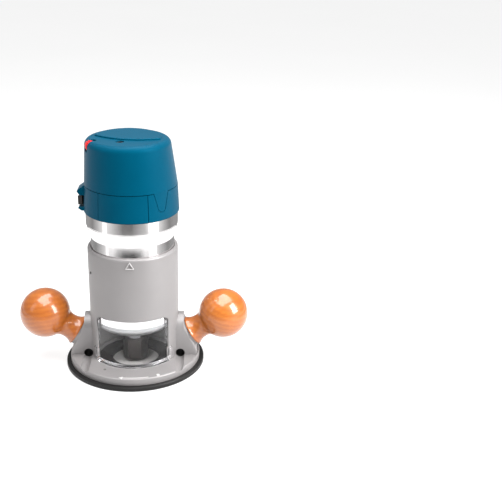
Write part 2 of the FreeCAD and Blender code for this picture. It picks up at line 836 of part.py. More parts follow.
cap_outside = leaning_plug("cap_outside", seam_radius - 0.1, 44.0, cap_bottom, crown_z, shoulder_round)
cap_inside = leaning_plug("cap_inside", shell_inner, 41.0, cap_bottom, crown_z - 4.0, 4.5)
cap_shell = cut("cap_shell", cap_outside, [cap_inside])
plateau_low = 253.0
plateau = slab("plateau_outline", "XY_Plane", [
    (-36.5, 4.0, 62.0),
    (31.5, -8.5, 36.0),
    (-2.0, 35.0, 36.0),
], plateau_low, plateau_top - plateau_low)
plateau_edge = soften("plateau", plateau, 1.0, lambda edge: edge.CenterOfMass.z > 256.9)


def tongue(name):
    low = tongue_low - 2.0
    tall = cap_bottom - low + 0.8
    outside = cone(name + "_outside", seam_radius + 0.8, seam_radius - 0.1, low, tall)
    inside = cylinder(name + "_inside", shell_inner, tall, z=low)
    wall = cut(name + "_wall", outside, [inside])
    shape = tongue_slab(name + "_shape", 0.0)
    shape.Placement = about_z(tongue.bearing)
    return common(name, wall, shape)


tongues = []
for number, bearing in enumerate(tongue_bearings, 1):
    tongue.bearing = bearing
    tongues.append(tongue(f"cap_tongue_{number}"))

dial_bearing = size("dial_bearing", -158.0)
dial_reach = 41.9
dial_height = 249.8
dial_thick = 6.0
dial_gap = 0.4
slot_wide = dial_thick + 2 * dial_gap
slot_corner = (dial_reach - float(dial_radius) - dial_gap, -slot_wide / 2,
               dial_height - float(dial_radius) - dial_gap)
slot_block = box("dial_slot_block", slot_corner, (16.0, slot_wide, 16.0))
dial_slot = turned("dial_slot", slot_block, dial_bearing)
screw_x, screw_y = -8.5, -19.0
recess_floor = 252.8
recess = cylinder("cap_screw_recess", 4.4, 5.0, screw_x, screw_y, recess_floor)
screw_through = cylinder("cap_screw_through", 1.8, 20.0, screw_x, screw_y, 240.0)
inlet_height = 228.0
inlet_hole = cylinder("inlet_hole", 9.0, 30.0, 0.0, 35.0, inlet_height, ALONG_Y)
cap_solid = fuse("cap_solid", [cap_shell, plateau_edge, *tongues])
node("top_cap", cut("top_cap", cap_solid, [dial_slot, recess, screw_through, inlet_hole]))

screw_head = cylinder("cap_screw_head", 3.6, 1.6, screw_x, screw_y, recess_floor + 0.1)
screw_shank = cylinder("cap_screw_shank", 1.7, 23.0, screw_x, screw_y, 230.0)
screw_drive = cylinder("cap_screw_drive", 1.5, 1.0, screw_x, screw_y, recess_floor + 0.9)
node("cap_screw", cut("cap_screw", fuse("cap_screw_solid", [screw_head, screw_shank]), [screw_drive]))


def dial_round(name, radius, length):
    """A cylinder on the dial's own axis, which runs along the tangent at its bearing."""
    return cylinder(name, radius, length, dial_reach, -length / 2, dial_height, ALONG_Y)


dial_disc = dial_round("dial_disc", dial_radius, dial_thick)
dial_bore = dial_round("dial_bore", 1.6, dial_thick)
node("speed_dial", cut("speed_dial", dial_disc, [dial_bore]), dial_bearing)
node("dial_axle", turned("dial_axle", dial_round("dial_axle_round", 1.6 - float(play), slot_wide),
                         dial_bearing))

gland = cylinder("gland_tube", 9.0, 15.0, 0.0, 43.0, inlet_height, ALONG_Y)
gland_rim = cylinder("gland_rim", 11.0, 2.0, 0.0, 49.0, inlet_height, ALONG_Y)
gland_bore = cylinder("gland_bore", 4.0, 30.0, 0.0, 35.0, inlet_height, ALONG_Y)
node("cord_inlet", cut("cord_inlet", fuse("gland_solid", [gland, gland_rim]), [gland_bore]))

# ---------------------------------------------------------------- electrics

stator_low = 86.0
stator_tall = 46.0
end_turn = 7.5
air_gap = 0.5
armature_radius = size("armature_radius", 27.5)
node("stator_core", ring("stator_core", can_inner, armature_radius + air_gap, stator_low, stator_tall))
node("field_coils", fuse("field_coils", [
    ring(f"field_coil_{n}", 38.0, armature_radius + 1.5, z, end_turn)
    for n, z in enumerate((stator_low - end_turn, stator_low + stator_tall), 1)]))

brush_height = 169.5
holder_start = 14.4


def brush_holder(name):
    tube = box(name + "_tube", (holder_start, -6.0, brush_height - 5.0), (26.0, 12.0, 10.0))
    channel = box(name + "_channel", (10.0, -4.1, brush_height - 3.1), (28.5, 8.2, 6.2))
    return cut(name, tube, [channel])


def brush(name):
    return box(name, (13.6, -4.0, brush_height - 3.0), (15.0, 8.0, 6.0))


def brush_spring(name):
    spring = coil(name, 2.2, 0.3, 1.6, 8.6)
    spring.Placement = FreeCAD.Placement(V(29.1, 0, brush_height), ALONG_X)
    return spring


brush_bearings = (90.0, 270.0)
node("brush_holders", fuse("brush_holders", turned_copies("brush_holder", brush_holder, brush_bearings)))
node("brushes", fuse("brushes", turned_copies("brush", brush, brush_bearings)))
node("brush_springs", fuse("brush_springs", turned_copies("brush_spring", brush_spring, brush_bearings)))

node("bearing_bracket", lathe("bearing_bracket", [
    (26.0, can_top - 2.5),
    (45.4, can_top - 2.5),
    (45.4, can_top),
    (29.0, can_top),
    (29.0, 193.0),
    (17.0, 198.0),
    (17.0, 206.0),
    (13.0, 206.0),
    (13.0, 195.5),
    (26.0, 190.0),
]))
upper_shaft = 6.0
node("upper_bearing", ring("upper_bearing", 13.0, upper_shaft + play, 195.6, 9.0))
node("lower_bearing", ring("lower_bearing", bearing_outer, shaft_radius + play, nose_bottom + 2.6, 12.0))
node("control_module", box("control_module", (-24.0, -22.0, 212.0), (48.0, 44.0, 16.0)))

# ---------------------------------------------------------------- spindle and collet

shaft = lathe("shaft_turned", [
    (7.7, 12.2),
    (spindle_radius - 0.6, 12.2),
    (spindle_radius, 12.8),
    (spindle_radius, 40.0),
    (shaft_radius, 41.0),
    (shaft_radius, 150.0),
    (upper_shaft, 152.0),
    (upper_shaft, 208.0),
    (0.0, 208.0),
    (0.0, 46.0),
    (7.7, 44.0),
])
flat_low = nut_bottom + nut_height + 2.0
flats = [box(f"spindle_flat_{n}", (-12.0, y, flat_low), (24.0, 4.0, 9.0))
         for n, y in enumerate((spindle_flats / 2, -spindle_flats / 2 - 4.0), 1)]
node("armature_shaft", cut("armature_shaft", shaft, flats))
node("armature_core", ring("armature_core", armature_radius, shaft_radius, stator_low, stator_tall))
node("armature_windings", fuse("armature_windings", [
    ring(f"winding_{n}", 25.0, 12.0, z, end_turn)
    for n, z in enumerate((stator_low - end_turn, stator_low + stator_tall), 1)]))
node("commutator", ring("commutator", 13.5, upper_shaft, 156.0, 26.0))

fan_low = 66.2


def fan_blade(name):
    return box(name, (13.0, -0.8, fan_low + 1.0), (22.5, 1.6, 9.5))


fan_hub = ring("fan_hub", 14.0, shaft_radius, fan_low, 10.5)
fan_disc = ring("fan_disc", 36.0, shaft_radius, fan_low, 2.0)
blade_count = 14
node("cooling_fan", fuse("cooling_fan", [fan_hub, fan_disc, *turned_copies(
    "fan_blade", fan_blade, [360 / blade_count * n for n in range(blade_count)])]))

collet_low = nut_bottom + 4.2
sleeve = lathe("collet_turned", [
    (collet_bore, collet_low),
    (8.3, collet_low),
    (8.6, collet_low + 0.4),
    (8.6, collet_low + 3.0),
    (7.4, collet_low + 3.6),
    (7.4, collet_low + 30.0),
    (collet_bore, collet_low + 30.0),
])


def collet_slot(name):
    return box(name, (3.0, -0.6, collet_low - 1.0), (9.0, 1.2, 24.0))


node("collet", cut("collet", sleeve, turned_copies("collet_slot", collet_slot, (0.0, 120.0, 240.0))))

nut_block = hexagon("nut_hexagon", nut_flats, nut_height, nut_bottom)
nut_cone = cone("nut_cone", 11.6, 14.6, nut_bottom, 3.2)
nut_top_cone = cone("nut_top_cone", 15.6, 12.4, nut_bottom + nut_height - 2.0, 2.0)
nut_body = cylinder("nut_body", 20.0, nut_height - 5.2, z=nut_bottom + 3.2)
nut_envelope = fuse("nut_envelope", [nut_cone, nut_top_cone, nut_body])
nut_mouth = cylinder("nut_mouth", 7.6, 6.0, z=nut_bottom - 1.0)
nut_thread = cylinder("nut_thread", spindle_radius + 0.1, nut_height, z=nut_bottom + 4.0)
node("collet_nut", cut("collet_nut", common("nut_shape", nut_block, nut_envelope),
                       [nut_mouth, nut_thread]))

# ---------------------------------------------------------------- check and write

doc.recompute()
for item in doc.Objects:
    if "Invalid" in item.State or "Error" in item.State:
        raise RuntimeError(f"{item.Name} did not compute: {item.State}")
os.makedirs("parts", exist_ok=True)
for label, item in nodes.items():
    shape = item.Shape
    if shape.isNull() or not shape.isValid() or shape.Volume <= 0:
        raise RuntimeError(f"{label} has no valid solid")
    shape.exportStep(f"parts/{label}.step")
    low, high = shape.BoundBox, shape.BoundBox
    print(f"{label:20s} solids {len(shape.Solids)} volume {shape.Volume / 1000:8.2f} cm3 "
          f"x {low.XMin:7.1f} {high.XMax:7.1f} y {low.YMin:7.1f} {high.YMax:7.1f} "
          f"z {low.ZMin:7.1f} {high.ZMax:7.1f}")
print(len(nodes), "sub-parts written")
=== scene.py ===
# %% [markdown]
# # A fixed-base router, finished part by part
# The metal, plastic and steel parts come in as a fixed frame. This lesson gives each of them a
# finish, and makes again the pieces that need softer shapes or finer detail than a plain
# solid has: the turned wooden knobs, the ribbed adjuster, the clear chip shield and others.
# Everything is in metres. +Z is up the spindle, and the chip window faces -Y.

# %% Load the frame
import math
import bmesh
import bpy
from mathutils import Matrix, Vector


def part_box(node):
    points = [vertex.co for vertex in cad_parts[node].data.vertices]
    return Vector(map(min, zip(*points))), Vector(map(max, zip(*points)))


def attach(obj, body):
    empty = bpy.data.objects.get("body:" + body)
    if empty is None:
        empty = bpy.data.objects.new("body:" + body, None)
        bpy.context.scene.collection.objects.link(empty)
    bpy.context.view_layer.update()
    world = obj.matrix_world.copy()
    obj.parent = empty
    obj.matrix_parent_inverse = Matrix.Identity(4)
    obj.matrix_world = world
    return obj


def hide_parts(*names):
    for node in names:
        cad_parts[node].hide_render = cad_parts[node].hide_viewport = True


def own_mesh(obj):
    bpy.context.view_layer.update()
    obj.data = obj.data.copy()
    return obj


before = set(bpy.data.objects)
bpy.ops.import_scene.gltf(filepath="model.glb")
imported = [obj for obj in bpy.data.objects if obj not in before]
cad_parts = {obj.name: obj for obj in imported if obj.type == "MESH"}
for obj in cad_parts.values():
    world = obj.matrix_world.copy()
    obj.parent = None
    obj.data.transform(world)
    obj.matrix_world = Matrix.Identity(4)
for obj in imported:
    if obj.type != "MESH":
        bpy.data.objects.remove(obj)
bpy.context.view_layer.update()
MM = 0.001
collection = bpy.context.scene.collection

# %% [markdown]
# ## Helpers for finishes
# A finish is one Principled shader fed by noise in object coordinates. Paint, plastic and metal
# could share one plain colour each, but real ones vary a little in tint, in gloss and in height,
# so each finish below mixes two close colours, two roughness values and a shallow bump.

# %% Start a finish
def start_finish(name):
    finish = bpy.data.materials.new(name)
    finish.use_nodes = True
    tree = finish.node_tree
    return finish, tree, tree.nodes["Principled BSDF"]


print("each finish starts from one Principled shader")

# %% Patterns in object coordinates
def mapped(tree, stretch=(1, 1, 1), turn=(0, 0, 0), centre=(0, 0, 0)):
    """Object coordinates, stretched, turned and centred for a pattern."""
    place = tree.nodes.new("ShaderNodeTexCoord")
    mapping = tree.nodes.new("ShaderNodeMapping")
    mapping.inputs["Scale"].default_value = stretch
    mapping.inputs["Rotation"].default_value = turn
    mapping.inputs["Location"].default_value = centre
    tree.links.new(place.outputs["Object"], mapping.inputs["Vector"])
    return mapping.outputs["Vector"]


def noise_on(tree, where, scale, detail=3.0, warp=0.0):
    noise = tree.nodes.new("ShaderNodeTexNoise")
    noise.inputs["Scale"].default_value = scale
    noise.inputs["Detail"].default_value = detail
    noise.inputs["Distortion"].default_value = warp
    tree.links.new(where, noise.inputs["Vector"])
    return noise.outputs["Fac"]


def tint(tree, factor, stops):
    """Colour stops as (position, red, green, blue) along a factor."""
    ramp = tree.nodes.new("ShaderNodeValToRGB")
    while len(ramp.color_ramp.elements) < len(stops):
        ramp.color_ramp.elements.new(0.5)
    for element, (at, *colour) in zip(ramp.color_ramp.elements, stops):
        element.position = at
        element.color = (*colour, 1.0)
    tree.links.new(factor, ramp.inputs["Fac"])
    return ramp.outputs["Color"]


def ranged(tree, factor, low, high):
    spread = tree.nodes.new("ShaderNodeMapRange")
    spread.inputs["From Min"].default_value = 0.3
    spread.inputs["From Max"].default_value = 0.7
    spread.inputs["To Min"].default_value = low
    spread.inputs["To Max"].default_value = high
    tree.links.new(factor, spread.inputs["Value"])
    return spread.outputs["Result"]


def raised(tree, shader, height, strength, depth):
    bump = tree.nodes.new("ShaderNodeBump")
    bump.inputs["Strength"].default_value = strength
    bump.inputs["Distance"].default_value = depth
    tree.links.new(height, bump.inputs["Height"])
    tree.links.new(bump.outputs["Normal"], shader.inputs["Normal"])


print("patterns can tint, spread and raise a surface")

# %% [markdown]
# ## One recipe for paint, plastic and plain metal
# Most finishes differ only in numbers, so one function takes them: two colours, two roughness
# values, the size of the texture, how deep it is, and how metallic it is. The size of the texture
# is in bumps per metre, so 1500 is a moulded grain of well under a millimetre.

# %% Recipe
def surface(name, dark, light, gloss, grain, depth, metal=0.0, coat=0.0, stretch=(1, 1, 1), patch=18.0,
            shine=0.5, glint=(1, 1, 1)):
    finish, tree, shader = start_finish(name)
    broad = noise_on(tree, mapped(tree, stretch), patch, 4.0)
    fine = noise_on(tree, mapped(tree, stretch), grain, 2.0)
    tree.links.new(tint(tree, broad, [(0.3, *dark), (0.7, *light)]), shader.inputs["Base Color"])
    tree.links.new(ranged(tree, fine, *gloss), shader.inputs["Roughness"])
    raised(tree, shader, fine, 0.35, depth)
    shader.inputs["Metallic"].default_value = metal
    shader.inputs["Coat Weight"].default_value = coat
    shader.inputs["Coat Roughness"].default_value = 0.12
    shader.inputs["Specular IOR Level"].default_value = shine
    shader.inputs["Specular Tint"].default_value = (*glint, 1.0)
    return finish


print("one recipe for paint, plastic and plain metal")

# %% Painted, moulded and plated finishes
silver_paint = surface("silver_paint", (0.262, 0.250, 0.250), (0.29, 0.277, 0.277), (0.42, 0.50), 2600.0,
                       0.00006, metal=0.3, coat=0.1)
# Black plastic of the sub-base, and also the black tubes in the rod bores, which are painted shade.
black_plate_and_bore_shade = surface("black_plate_and_bore_shade", (0.006, 0.0055, 0.0054), (0.012, 0.0112, 0.011), (0.42, 0.56), 1900.0,
                      0.00004, shine=0.3)
blue_shell = surface("blue_shell", (0.0001, 0.054, 0.098), (0.0003, 0.063, 0.114), (0.36, 0.46), 3800.0,
                     0.00004, shine=0.2, glint=(0.0, 0.25, 0.45))
black_grip = surface("black_grip", (0.010, 0.010, 0.010), (0.018, 0.018, 0.018), (0.38, 0.52), 2400.0,
                     0.00005)
red_plastic = surface("red_plastic", (0.62, 0.006, 0.008), (0.74, 0.010, 0.012), (0.26, 0.36), 2400.0,
                      0.00003)
bright_zinc = surface("bright_zinc", (0.60, 0.60, 0.60), (0.72, 0.72, 0.71), (0.20, 0.34), 900.0, 0.00002,
                      metal=1.0)
# Pale metal: the ring ticks' own light colour, and a painted highlight on the raised marks of the painted
# casting.
pale_ticks_and_painted_highlight = surface("pale_ticks_and_painted_highlight", (0.60, 0.58, 0.58), (0.68, 0.66, 0.66), (0.30, 0.40), 2600.0, 0.00004,
                    metal=0.2)
# The nose is the barrel's turned aluminium made darker: painted shade.
nose_metal_painted_shade = surface("nose_metal_painted_shade", (0.52, 0.52, 0.52), (0.60, 0.60, 0.60), (0.28, 0.40), 1500.0, 0.00002,
                     metal=1.0)
print("outer finishes:", len(bpy.data.materials))

# %% Finishes inside the motor
# Black oxide steel, and also the dark disc of the oiling hole, which is painted shade.
oxide_steel_and_hole_shade = surface("oxide_steel_and_hole_shade", (0.012, 0.010, 0.009), (0.026, 0.021, 0.019), (0.34, 0.52), 1400.0,
                      0.00004, metal=0.3)
ground_steel = surface("ground_steel", (0.62, 0.62, 0.63), (0.74, 0.74, 0.75), (0.12, 0.22), 1200.0, 0.00001,
                       metal=1.0, stretch=(1, 1, 14))
sheet_steel = surface("sheet_steel", (0.26, 0.26, 0.27), (0.38, 0.38, 0.39), (0.35, 0.5), 900.0, 0.00006,
                      metal=0.9, stretch=(1, 1, 30))
copper_wire = surface("copper_wire", (0.55, 0.20, 0.07), (0.70, 0.30, 0.12), (0.22, 0.36), 1100.0, 0.0001,
                      metal=0.9, coat=0.4, stretch=(1, 1, 9))
pressed_carbon = surface("pressed_carbon", (0.02, 0.02, 0.02), (0.04, 0.04, 0.042), (0.5, 0.7), 2000.0,
                         0.00004)
plain_brass = surface("plain_brass", (0.60, 0.42, 0.16), (0.72, 0.52, 0.22), (0.2, 0.32), 900.0, 0.00002,
                      metal=1.0)
print("plain finishes:", len(bpy.data.materials))

# %% [markdown]
# ## Turned aluminium
# The motor barrel and the nose are turned on a lathe, which leaves hundreds of fine rings round
# them. Real rings could be modelled, but they are far thinner than a hair, so the noise is
# stretched flat instead: it changes quickly up the axis and hardly at all round it.

# %% Turned aluminium
def turned_metal(name, dark, light, gloss, rings):
    finish, tree, shader = start_finish(name)
    lathe_rings = noise_on(tree, mapped(tree, (0.02, 0.02, 1.0)), rings, 2.0)
    smudge = noise_on(tree, mapped(tree), 24.0, 4.0, 0.4)
    tree.links.new(tint(tree, smudge, [(0.3, *dark), (0.7, *light)]), shader.inputs["Base Color"])
    tree.links.new(ranged(tree, lathe_rings, *gloss), shader.inputs["Roughness"])
    raised(tree, shader, lathe_rings, 0.04, 0.00001)
    shader.inputs["Metallic"].default_value = 1.0
    return finish


bright_barrel = turned_metal("bright_barrel", (0.87, 0.85, 0.85), (0.90, 0.88, 0.88), (0.07, 0.11), 2200.0)
bracket_metal = turned_metal("bracket_metal", (0.52, 0.52, 0.53), (0.62, 0.62, 0.62), (0.28, 0.42), 1500.0)
print("turned finishes ready")

# %% [markdown]
# ## Lacquered wood
# The knobs are turned from one block of straight-grained wood and dipped in clear lacquer. A flat
# pattern wrapped round the ball would pinch at the ends. A wave that runs through the whole block,
# as growth rings do, cuts the ball the way a real blank does.

# %% Lacquered wood
def lacquered(name, turn, centre):
    finish, tree, shader = start_finish(name)
    where = mapped(tree, (1.0, 1.0, 1.0), turn, centre)
    rings = tree.nodes.new("ShaderNodeTexWave")
    rings.wave_type = "BANDS"
    rings.bands_direction = "Z"
    rings.inputs["Scale"].default_value = 60.0
    rings.inputs["Distortion"].default_value = 2.2
    rings.inputs["Detail"].default_value = 3.0
    rings.inputs["Detail Scale"].default_value = 1.2
    tree.links.new(where, rings.inputs["Vector"])
    fibre = noise_on(tree, mapped(tree, (0.06, 1.0, 1.0), turn, centre), 1500.0, 4.0)
    cloud = noise_on(tree, where, 22.0, 3.0, 0.6)
    ring_colour = tint(tree, rings.outputs["Fac"], [
        (0.0, 0.47, 0.126, 0.010), (0.5, 0.50, 0.140, 0.012), (1.0, 0.53, 0.154, 0.014)])
    cloud_colour = tint(tree, cloud, [(0.3, 0.80, 0.72, 0.62), (0.7, 1.0, 1.0, 1.0)])
    fibre_colour = tint(tree, fibre, [(0.35, 0.88, 0.84, 0.78), (0.62, 1.0, 1.0, 1.0)])
    shade = ring_colour
    for layer in (cloud_colour, fibre_colour):
        mix = tree.nodes.new("ShaderNodeMix")
        mix.data_type = "RGBA"
        mix.blend_type = "MULTIPLY"
        mix.inputs["Factor"].default_value = 1.0
        tree.links.new(shade, mix.inputs["A"])
        tree.links.new(layer, mix.inputs["B"])
        shade = mix.outputs["Result"]
    tree.links.new(shade, shader.inputs["Base Color"])
    tree.links.new(ranged(tree, fibre, 0.30, 0.40), shader.inputs["Roughness"])
    raised(tree, shader, fibre, 0.12, 0.00002)
    shader.inputs["Coat Weight"].default_value = 1.0
    shader.inputs["Coat Roughness"].default_value = 0.05
    return finish


left_wood = lacquered("left_wood", (0.25, 0.15, 0.0), (0.013, 0.004, 0.0))
right_wood = lacquered("right_wood", (-0.2, -0.3, 0.1), (-0.021, 0.007, 0.03))
print("wood finishes ready")

# %% [markdown]
# ## Clear plastic
# The chip shield is a thin sheet of polycarbonate. It lets the view through, and shows mainly as
# bright lines where its edges catch the light. Transmission gives that, with a little roughness
# for the fine scratches that chips leave.

# %% Clear plastic
def clear_sheet(name):
    finish, tree, shader = start_finish(name)
    scratch = noise_on(tree, mapped(tree, (1, 1, 0.1)), 1800.0, 3.0)
    haze = noise_on(tree, mapped(tree), 30.0, 3.0)
    milk = tint(tree, haze, [(0.3, 0.93, 0.94, 0.95), (0.7, 0.98, 0.98, 0.99)])
    tree.links.new(milk, shader.inputs["Base Color"])
    tree.links.new(ranged(tree, scratch, 0.02, 0.06), shader.inputs["Roughness"])
    raised(tree, shader, scratch, 0.05, 0.00001)
    shader.inputs["Transmission Weight"].default_value = 0.995
    shader.inputs["IOR"].default_value = 1.2
    return finish


clear_polycarbonate = clear_sheet("clear_polycarbonate")
print("finishes made:", [m.name for m in bpy.data.materials])

# %% [markdown]
# ## A finish on every part of the frame
# Each part of the frame keeps its shape and gets the finish of its real counterpart. The inner
# parts can be seen only when the motor is drawn out or the part is taken apart, and they are
# finished all the same.

# %% Dress the frame
WEAR = {
    silver_paint: ["base_casting"],
    black_plate_and_bore_shade: ["sub_base"],
    blue_shell: ["lower_band", "front_panel", "top_cap"],
    black_grip: ["clamp_lever", "indicator_ring", "adjust_knob", "switch_body", "power_switch",
                 "cord_inlet", "control_module", "cooling_fan"],
    red_plastic: ["release_lever", "speed_dial"],
    bright_zinc: ["sub_base_screws", "left_handle_stud", "right_handle_stud", "clamp_bolt", "clamp_nut",
                  "clamp_lever_pin", "adjust_screw", "release_lever_pin", "switch_axle", "dial_axle",
                  "release_spring", "brush_springs"],
    bright_barrel: ["motor_can", "nose_housing", "adjust_carriage"],
    bracket_metal: ["bearing_bracket"],
    oxide_steel_and_hole_shade: ["collet", "collet_nut", "cap_screw"],
    ground_steel: ["upper_bearing", "lower_bearing", "armature_shaft"],
    sheet_steel: ["stator_core", "armature_core"],
    copper_wire: ["field_coils", "armature_windings", "commutator"],
    pressed_carbon: ["brushes"],
    plain_brass: ["brush_holders"],
    clear_polycarbonate: ["chip_shield"],
    left_wood: ["left_handle"],
    right_wood: ["right_handle"],
}
for finish, parts in WEAR.items():
    for part in parts:
        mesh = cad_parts[part].data
        mesh.materials.clear()
        mesh.materials.append(finish)
bare = set(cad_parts) - {part for parts in WEAR.values() for part in parts}
print("parts left without a finish:", sorted(bare))

# %% [markdown]
# ## Making a new piece
# A new piece starts as a bmesh and ends as an object at the origin, with its place in its mesh. It
# rides on the body of the part that it stands for, and takes the finish that it is given.

# %% Turn a bmesh into a piece
def finished_piece(name, shape, finish, body, stands_for=(), smooth_to=35.0):
    bmesh.ops.recalc_face_normals(shape, faces=shape.faces)
    mesh = bpy.data.meshes.new(name)
    shape.to_mesh(mesh)
    shape.free()
    piece = bpy.data.objects.new(name, mesh)
    collection.objects.link(piece)
    mesh.materials.append(finish)
    mesh.shade_smooth()
    mesh.set_sharp_from_angle(angle=math.radians(smooth_to))
    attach(piece, body)
    if stands_for:
        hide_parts(*stands_for)
    print(f"{name}: {len(mesh.polygons)} faces")
    return piece


print("new pieces can be made")

# %% [markdown]
# ## Lathe work
# A turned piece starts as its half outline, in the XZ plane. Straight runs are added point by
# point, a round run is one point spun about the round's centre, and the whole outline is then spun
# once about Z. Spinning is what a lathe does, and it gives clean rings with no seam.

# %% Lathe helpers
def run_to(shape, last, across, up):
    point = shape.verts.new((across * MM, 0, up * MM))
    if last is not None:
        shape.edges.new((last, point))
    return point


def round_to(shape, last, across, up, radius, steps=10):
    """An arc on to the next point. A positive radius bends it counter-clockwise."""
    start = Vector((last.co.x, last.co.z)) / MM
    end = Vector((across, up))
    chord = end - start
    reach = math.sqrt(max(radius * radius - chord.length_squared / 4, 0.0))
    side = Vector((-chord.y, chord.x)).normalized() * (reach if radius > 0 else -reach)
    centre = (start + end) / 2 + side
    opening = 2 * math.asin(min(chord.length / 2 / abs(radius), 1.0))
    spun = bmesh.ops.spin(shape, geom=[last], cent=(centre.x * MM, 0, centre.y * MM), axis=(0, 1, 0),
                          angle=-opening if radius > 0 else opening, steps=steps, use_duplicate=False)
    return [v for v in spun["geom_last"] if isinstance(v, bmesh.types.BMVert)][0]


def turn_on_lathe(shape, rings=96, closed=True):
    if closed:
        ends = [v for v in shape.verts if len(v.link_edges) == 1]
        off_axis = [v for v in ends if abs(v.co.x) > 1e-7]
        if len(off_axis) == 2:
            shape.edges.new(off_axis)
    bmesh.ops.spin(shape, geom=shape.verts[:] + shape.edges[:], cent=(0, 0, 0), axis=(0, 0, 1),
                   angle=2 * math.pi, steps=rings, use_merge=True)
    bmesh.ops.remove_doubles(shape, verts=shape.verts, dist=1e-6)


print("lathe helpers ready")

# %% [markdown]
# ## The wooden knobs
# Each knob is a ball on a short waisted neck, with a flat foot that seats on the casting. A sphere
# joined to a cone would leave a crease at the neck, so the outline is spun in one go: foot, hollow
# neck, ball. It leans out from the spindle by the seat's own tilt. The knobs stay out of the
# reflections, so that the silver paint beside them keeps its own colour.

# %% Wooden knobs
KNOB_SEAT = (63.3, 35.0)
KNOB_TILT = 58.0
BALL = 27.3
BALL_CENTRE = 41.0
BALL_START = 18.7
BALL_FOOT = math.sqrt(BALL ** 2 - (BALL_CENTRE - BALL_START) ** 2)
FOOT = 16.6
for side, body_side, finish in ((-1, "left", left_wood), (1, "right", right_wood)):
    knob = bmesh.new()
    point = run_to(knob, None, 0.0, 0.0)
    point = run_to(knob, point, FOOT - 0.4, 0.0)
    point = run_to(knob, point, FOOT, 0.4)
    point = run_to(knob, point, FOOT, 1.6)
    point = round_to(knob, point, 13.3, 10.5, -14.0)
    point = round_to(knob, point, BALL_FOOT, BALL_START, -11.0)
    point = round_to(knob, point, 0.0, BALL_CENTRE + BALL, BALL, 40)
    turn_on_lathe(knob, 120, closed=False)
    lean = Matrix.Rotation(side * math.radians(KNOB_TILT), 4, "Y")
    seat = Matrix.Translation((side * KNOB_SEAT[0] * MM, 0, KNOB_SEAT[1] * MM))
    bmesh.ops.transform(knob, matrix=seat @ lean, verts=knob.verts)
    turned = finished_piece(f"{body_side}_turned_knob", knob, finish, "base",
                            [f"{body_side}_handle"])
    turned.visible_glossy = False

# %% [markdown]
# ## Painted shade in the rod bores
# The two edge-guide bores read as black holes, because each is lined with a thin black tube of
# painted shade. A disc could be painted in the mouth, but a tube keeps the bore open for the rod.
# It is one short outline turned on the lathe and laid along Y.

# %% Rod bore shade
ROD_SPOT = (50.5, 14.8)
for side, name in ((-1, "left_rod_bore_shade"), (1, "right_rod_bore_shade")):
    bore_shade = bmesh.new()
    point = run_to(bore_shade, None, 4.6, -15.0)
    point = run_to(bore_shade, point, 4.95, -15.0)
    point = run_to(bore_shade, point, 4.95, 15.0)
    point = run_to(bore_shade, point, 4.6, 15.0)
    turn_on_lathe(bore_shade, 48)
    spot = Matrix.Translation((side * ROD_SPOT[0] * MM, 0, ROD_SPOT[1] * MM))
    bmesh.ops.transform(bore_shade, matrix=spot @ Matrix.Rotation(math.pi / 2, 4, "X"), verts=bore_shade.verts)
    # The black tube is painted shade for the dark inside of the bore.
    finished_piece(name, bore_shade, black_plate_and_bore_shade, "base")

# %% [markdown]
# ## The nose of the motor
# Behind the window the motor ends in a bright nose with a full round edge, which catches most of
# the light there. The frame's nose has a plain chamfer, so this one is turned again with an arc,
# hollow as before, and takes its place. Its finish is the barrel's aluminium made darker: painted
# shade for the soft shade that the nose sits in behind the window.

# %% Motor nose
nose = bmesh.new()
point = run_to(nose, None, 17.6, 45.8)
point = run_to(nose, point, 33.0, 45.8)
point = round_to(nose, point, 40.5, 48.6, 11.0)
point = round_to(nose, point, 44.2, 54.2, 9.0)
point = run_to(nose, point, 44.2, 55.2)
point = run_to(nose, point, 43.7, 55.4)
point = run_to(nose, point, 43.7, 55.9)
point = run_to(nose, point, 44.2, 56.1)
point = run_to(nose, point, 44.2, 57.3)
point = run_to(nose, point, 41.4, 57.3)
point = run_to(nose, point, 37.0, 50.5)
point = run_to(nose, point, 21.5, 50.5)
point = run_to(nose, point, 21.5, 61.0)
point = run_to(nose, point, 17.6, 61.0)
turn_on_lathe(nose, 128)
finished_piece("rounded_nose", nose, nose_metal_painted_shade, "motor", ["nose_housing"])

# %% [markdown]
# ## The chip shield
# A clear sheet snaps into the window and keeps chips off the hands. It is bent to the barrel, so
# its outline is one upright line spun through the window's width, cut at its upper corners to
# clear the rounded window, and thickened. A bead along the foot stiffens it, and two small clips
# at its lower corners hold it. Each clip is a flat loop, inset from one rectangle and thickened.

# %% Chip shield
SHIELD_OUT = 47.6
SHIELD_HALF = 36.4
SHIELD_THICK = 1.6
SHIELD_LOW = 13.1
SHIELD_TOP = 66.5
CORNER_CUT = 4.3
FRONT = math.radians(-90)


def sweep_front(shape, half_angle, steps=48):
    """Spin what lies on the +X side through an arc centred on the front."""
    start = Matrix.Rotation(FRONT - half_angle, 3, "Z")
    bmesh.ops.rotate(shape, cent=(0, 0, 0), matrix=start, verts=shape.verts)
    bmesh.ops.spin(shape, geom=shape.verts[:] + shape.edges[:], cent=(0, 0, 0), axis=(0, 0, 1),
                   angle=2 * half_angle, steps=steps)


